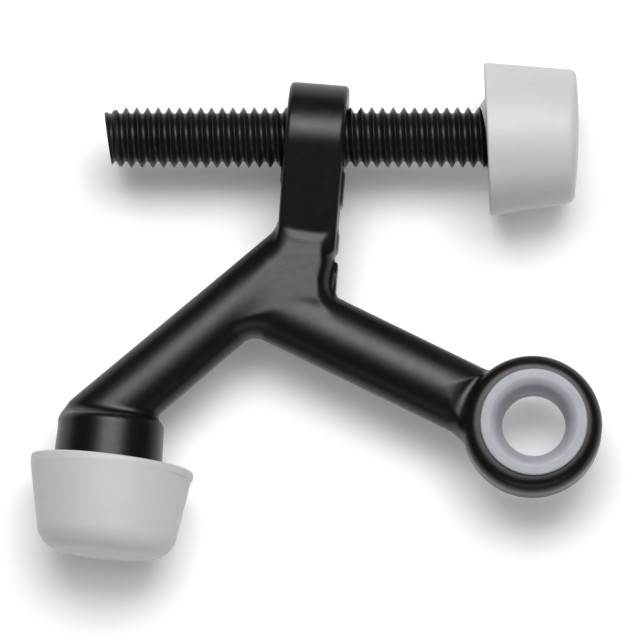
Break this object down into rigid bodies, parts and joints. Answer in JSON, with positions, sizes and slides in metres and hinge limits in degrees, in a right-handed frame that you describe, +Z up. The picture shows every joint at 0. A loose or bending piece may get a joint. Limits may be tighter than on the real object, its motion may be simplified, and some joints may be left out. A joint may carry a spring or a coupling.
{
  "type": "hinge pin door stop",
  "caption": "Y-shaped cast arm that drops over a hinge pin, with a fixed rubber foot and a threaded rod whose rubber tip sets how far the door opens.",
  "frame": {"origin": "centre of the hinge-pin bore through the bushed eye, at mid-height", "axes": "+Z up the hinge-pin bore, +X along the threaded rod towards its rubber tip, +Y from the bore towards the rod"},
  "size_m": [0.075, 0.0659, 0.0214],
  "materials": {
    "black_paint": "satin",
    "black_oxide": "black oxide",
    "white_rubber": "smooth off-white rubber",
    "grey_nylon": "satin light grey nylon"
  },
  "bodies": {
    "body": {"casting": "black_paint", "upper_bush": "grey_nylon", "lower_bush": "grey_nylon", "foot_tip": "white_rubber"},
    "tip": {"rod_tip": "white_rubber"},
    "rod": {"threaded_rod": "black_oxide"}
  },
  "joints": [
    {"name": "rod_travel", "type": "slide", "parent": "body", "child": "tip", "axis": [1, 0, 0], "range_m": [-0.016, 0.018]},
    {"name": "rod_turn", "type": "hinge", "parent": "tip", "child": "rod", "pos_m": [-0.0287, 0.03842, 0], "axis": [1, 0, 0], "range_deg": [-4082, 4593]}
  ],
  "couplings": [
    {"joint": "rod_turn", "follows": "rod_travel", "rad_per_m": 4452.6}
  ]
}
